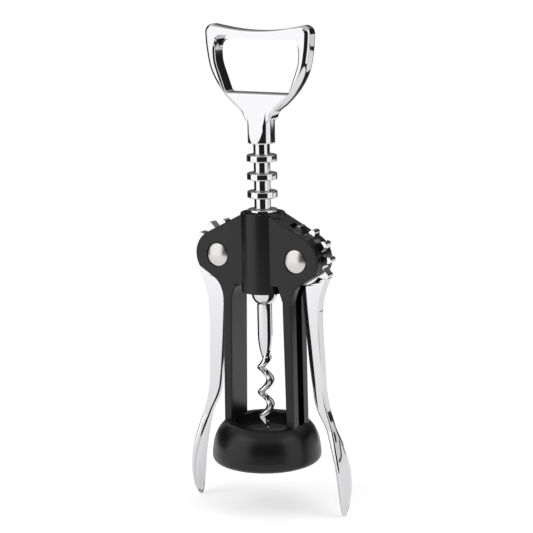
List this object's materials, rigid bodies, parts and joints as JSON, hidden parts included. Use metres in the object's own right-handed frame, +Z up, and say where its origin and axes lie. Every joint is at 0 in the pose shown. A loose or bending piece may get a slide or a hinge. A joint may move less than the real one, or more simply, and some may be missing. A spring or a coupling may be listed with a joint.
{
  "type": "lever corkscrew",
  "caption": "Wing corkscrew: a bell sits on the bottle, a screw driven through a ringed rack lifts two geared levers, and pressing the levers down draws the cork; the handle lifts bottle caps.",
  "frame": {"origin": "centre of the bell's open underside, on the screw's axis, where the bottle's lip enters", "axes": "+Z up the screw to the handle, X along the pair of levers, -Y is the front, with the pins' heads and the handle's recessed face"},
  "size_m": [0.0696, 0.0436, 0.1914],
  "materials": {
    "black_body": "satin black coating over zinc casting, very fine mottle",
    "liner_plastic": "matt black moulded plastic",
    "chrome_plate": "bright polished chrome plate",
    "pin_nickel": "satin nickel, lightly turned"
  },
  "bodies": {
    "frame": {"frame": "black_body", "neck_liner": "liner_plastic", "pivot_pin_left": "pin_nickel", "pivot_pin_right": "pin_nickel", "pivot_cap_left": "pin_nickel", "pivot_cap_right": "pin_nickel"},
    "rack": {"rack": "chrome_plate"},
    "screw": {"worm": "chrome_plate", "handle": "chrome_plate"},
    "lever_left": {"lever_left": "chrome_plate"},
    "lever_right": {"lever_right": "chrome_plate"}
  },
  "joints": [
    {"name": "lever_left_hinge", "type": "hinge", "parent": "frame", "child": "lever_left", "pos_m": [-0.0174, 0, 0.0827], "axis": [0, 1, 0], "range_deg": [0, 110]},
    {"name": "lever_right_hinge", "type": "hinge", "parent": "frame", "child": "lever_right", "pos_m": [0.0174, 0, 0.0827], "axis": [0, -1, 0], "range_deg": [0, 110]},
    {"name": "rack_slide", "type": "slide", "parent": "frame", "child": "rack", "axis": [0, 0, -1], "range_m": [0, 0.026]},
    {"name": "screw_turn", "type": "hinge", "parent": "rack", "child": "screw", "pos_m": [0, 0, 0.1], "axis": [0, 0, 1], "continuous": true}
  ],
  "couplings": [
    {"joint": "lever_right_hinge", "follows": "lever_left_hinge", "ratio": 1},
    {"joint": "rack_slide", "follows": "lever_left_hinge", "m_per_rad": 0.0135}
  ]
}
